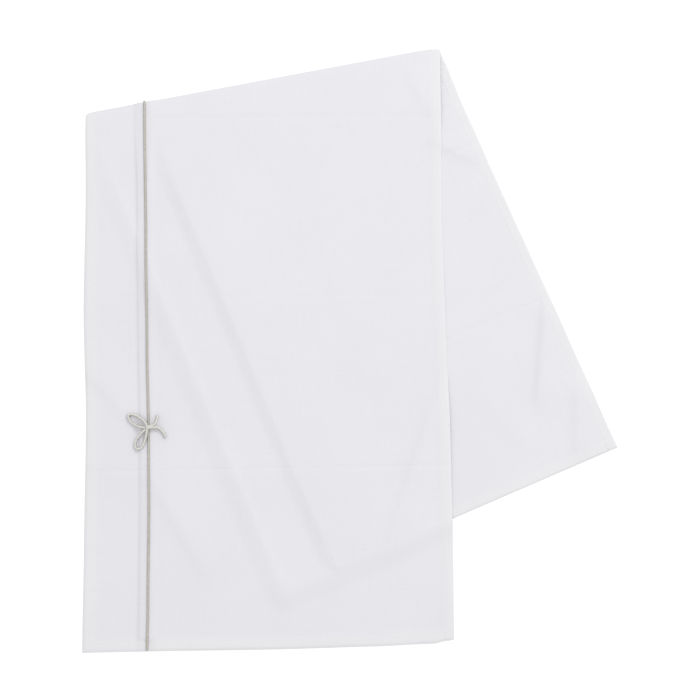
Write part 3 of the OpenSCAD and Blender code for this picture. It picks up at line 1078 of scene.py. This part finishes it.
# Routes from the knot, in millimetres: across, along, and above the cloth
ROUTES = {
    "bow_upper_loop": [
        (0, 1, 6), (-1.8, 5.8, 6.2), (-7.9, 12.4, 3.8), (-14.8, 16.9, 2.4), (-21.7, 18.8, 1.9),
        (-26.4, 17.4, 1.9), (-23.8, 10.4, 1.9), (-19, 5.8, 2.0), (-13.7, 2.6, 2.9), (-7.4, 0.7, 4.6),
        (0, 0, 6),
    ],
    "bow_lower_loop": [
        (0, -1, 6), (-5, -4.6, 5.6), (-10.6, -10.3, 3.6), (-15.1, -16.4, 2.2), (-17.1, -21.7, 1.9),
        (-16.6, -25.9, 1.9), (-14.3, -28.1, 1.9), (-12.1, -28.6, 1.9), (-9, -27.5, 1.9),
        (-6.3, -24.3, 2.0), (-3.9, -19, 2.6), (-2.3, -13.7, 4.0), (-1, -8.6, 5.2), (0, -2, 6),
    ],
    "bow_upper_tail": [
        (0, 0.5, 6), (3.7, 1.9, 5.6), (7.4, 3.2, 4.0), (10.6, 6.3, 2.6), (12.7, 11.6, 1.9),
        (14.5, 18.5, 1.9),
    ],
    "bow_lower_tail": [
        (0, 0, 6.2), (3.7, 0, 6.4), (9, 0.5, 4.6), (14.3, 0, 2.6), (18, -2.6, 1.9), (21.6, -6.9, 1.9),
        (25.3, -14, 1.9),
    ],
}
# The knot: how many half turns it goes from and to, half its width, its radii, and its middle's height
KNOT_TURNS = (-0.6, 2.6)
KNOT_WIDE = 1.0
KNOT_LONG = 2.4
KNOT_HIGH = 1.7
KNOT_MIDDLE = 6.2


def at_bow(points):
    """Moves points in millimetres from the knot onto the cloth under them.

    Over the allowance and the piping, the cloth's height is taken beside them.
    """
    p = np.asarray(points, float) * MM
    x, y = p[:, 0] + knot_xy[0] - corner[0], p[:, 1] + knot_xy[1] - corner[1]
    px, py = upper_xy(x, y)
    aside = np.where(np.abs(x - seam) < allowance_w + 3 * MM, seam + 6 * MM, x)
    return np.stack([px, py, upper_lift(aside, y) + p[:, 2]], axis=1)


def bow_piece(name, route, step, radius):
    """A stretch of the bow's cord along a route from the knot, rounded off at both ends."""
    path = evenly(at_bow(route), step)
    run = np.linspace(0, step * len(path), len(path))
    rings, weave = cord_rings(path, rounded(run, radius))
    settle(tube(name, rings, weave), "upper", "cord", "bow_cord")


def make_bow():
    """Two loops, two tails and the knot between them."""
    for name, route in ROUTES.items():
        bow_piece(name, smooth_path(route), 0.5 * MM, cord_r)
    turn = np.linspace(*KNOT_TURNS, 60) * math.pi
    across = np.linspace(-KNOT_WIDE, KNOT_WIDE, len(turn))
    along, up = KNOT_LONG * np.sin(turn), KNOT_MIDDLE + KNOT_HIGH * np.cos(turn)
    bow_piece("bow_knot", np.stack([across, along, up], axis=1), 0.4 * MM, 0.92 * cord_r)


# -------- stitches

STITCH = 3.0 * MM
STITCH_GAP = 0.7 * MM
THREAD_R = 0.2 * MM
# Each half's end, its way onto the table, its height, and whether its right side faces up or down
HALVES = {
    "upper": (-upper_len, upper_xy, upper_lift, 1),
    "lower": (lower_len, lower_xy, lower_lift, -1),
}


def stitches(name, lines, region):
    """Short stitches along lines of the strip, each with a start, a stop, a depth and a side.

    The depth is a function of the place, and the side is 1 for the right and -1 for the wrong one.
    """
    end, to_table, lift, up = HALVES[region]
    # A stitch is six rings of six points: where each ring is along half its length, how fat and how high
    t = np.array([-1, -0.82, -0.4, 0.4, 0.82, 1.0])
    fat = np.array([0.25, 0.8, 1, 1, 0.8, 0.25]) * THREAD_R
    rise = np.array([-0.9, -0.1, 0.2, 0.2, -0.1, -0.9]) * THREAD_R
    angle = np.arange(6) * math.pi / 3
    caps = [[5, 4, 3, 2], [5, 2, 1, 0], [30, 31, 32, 33], [30, 33, 34, 35]]
    one = np.concatenate([ring_faces(6, 6), caps])
    points, faces, count = [], [], 0
    for start, stop, depth, side in lines:
        start, stop = np.array(start), np.array(stop)
        length = np.linalg.norm(stop - start)
        total = int(length / (STITCH + STITCH_GAP))
        middle = (np.arange(total) + 0.5) * length / total
        at = middle[:, None] + t * STITCH / 2
        xy = start + (stop - start) * (at / length)[..., None]
        x, y = xy[..., 0], xy[..., 1]
        z = lift(x, y) - up * depth(x, y, end)
        centre = np.stack([*to_table(x, y), z + up * side * rise], axis=-1)
        along = centre[:, -1] - centre[:, 0]
        along[:, 2] = 0
        along /= np.linalg.norm(along, axis=1, keepdims=True)
        across = np.cross(along, UP)
        ring = np.cos(angle)[:, None] * across[:, None, None] + np.sin(angle)[:, None] * UP
        body = centre[:, :, None] + fat[:, None, None] * ring
        points.append(body.reshape(-1, 3))
        shift = count + np.arange(total) * len(t) * len(angle)
        faces.append((one[None] + shift[:, None, None]).reshape(-1, 4))
        count += len(points[-1])
    obj = make_mesh(name, np.concatenate(points), np.concatenate(faces).tolist())
    settle(obj, region, "thread")


def make_stitches():
    """Hem stitches on both faces of each half, and its seam stitches on the allowance."""
    near, room = 2 * MM, cord_r + 1.5 * MM
    for region, (end, *_) in HALVES.items():
        inwards = -1 if end > 0 else 1
        y = end + inwards * stitch_inset
        lines = [
            ((x, end + inwards * near), (x, fold_y(x) - inwards * near))
            for x in (left + stitch_inset, -stitch_inset)
        ]
        # The line along the end leaves out the cord
        lines += [((left + near, y), (seam - room, y)), ((seam + room, y), (-near, y))]
        hem = [(*line, lambda x, y, end: 0, 1) for line in lines]
        hem += [(*line, lambda x, y, end: cloth_t + hem_layers(x, y, end), -1) for line in lines]
        stitches(region + "_hem_thread", hem, region)
        x = seam - cord_d
        line = ((x, end + inwards * hem_w), (x, fold_y(x) - inwards * near))
        stitches(region + "_seam_thread", [(*line, lambda x, y, end: cloth_t + allowance_t, -1)], region)


def make_tack_stitch():
    """Thread from the cloth up round both sides of the piping and into the knot."""
    shift = (seam + corner[0] - knot_xy[0]) / MM
    reach = cord_r / MM + 0.2
    arch = [(shift - reach, 0, -0.3), (shift - reach, 0.1, 2.2), (shift - 1, 0.2, 4.2),
            (shift + 1, 0.2, 4.2), (shift + reach, 0.1, 2.2), (shift + reach, 0, -0.3)]
    path = evenly(at_bow(smooth_path(arch)), 0.3 * MM)
    rings, weave = cord_rings(path, np.full(len(path), THREAD_R))
    settle(tube("bow_tack_stitch", rings, weave), "upper", "thread")


make_cloth()
make_piping()
make_bow()
make_tack_stitch()
make_stitches()


# -------- floor, light and camera

FLOOR_HALF = 60.0
FLOOR_DROP = 0.3 * MM  # how far it lies below the runner, so that they don't touch


def make_floor():
    mesh = bpy.data.meshes.new("floor")
    s = FLOOR_HALF
    mesh.from_pydata([(-s, -s, 0), (s, -s, 0), (s, s, 0), (-s, s, 0)], [], [(0, 1, 2, 3)])
    mesh.materials.append(floor_material())
    floor = new_object("floor", mesh)
    floor.location.z = -FLOOR_DROP


def make_lights():
    """An even bright room, and one large soft light high on the upper right."""
    world = bpy.data.worlds.new("studio")
    world.use_nodes = True
    tree = world.node_tree
    set_inputs(tree, tree.nodes["Background"], {"Color": (1, 1, 1, 1), "Strength": 0.876})
    bpy.context.scene.world = world
    lamp = bpy.data.lights.new("softbox", "AREA")
    lamp.shape = "DISK"
    lamp.size = 1.3
    lamp.energy = 44
    softbox = new_object("softbox", lamp)
    azimuth, elevation, distance = math.radians(52), math.radians(42), 4.2
    flat = distance * math.cos(elevation)
    across, along = flat * math.cos(azimuth), flat * math.sin(azimuth)
    softbox.location = (across, along, distance * math.sin(elevation))
    softbox.rotation_euler = softbox.location.to_track_quat("Z", "Y").to_euler()


def make_camera():
    """The photo's view, as it was fitted to the runner's corners."""
    data = bpy.data.cameras.new("camera")
    data.lens = 70
    data.sensor_width = 36
    camera = new_object("camera", data)
    camera.location = (corner[0] - 0.240, corner[1] - 0.699, 1.869)
    camera.rotation_euler = [math.radians(a) for a in (8.08, -3.05, -1.08)]
    bpy.context.scene.camera = camera


make_floor()
make_lights()
make_camera()
bpy.context.scene.view_settings.view_transform = "Standard"
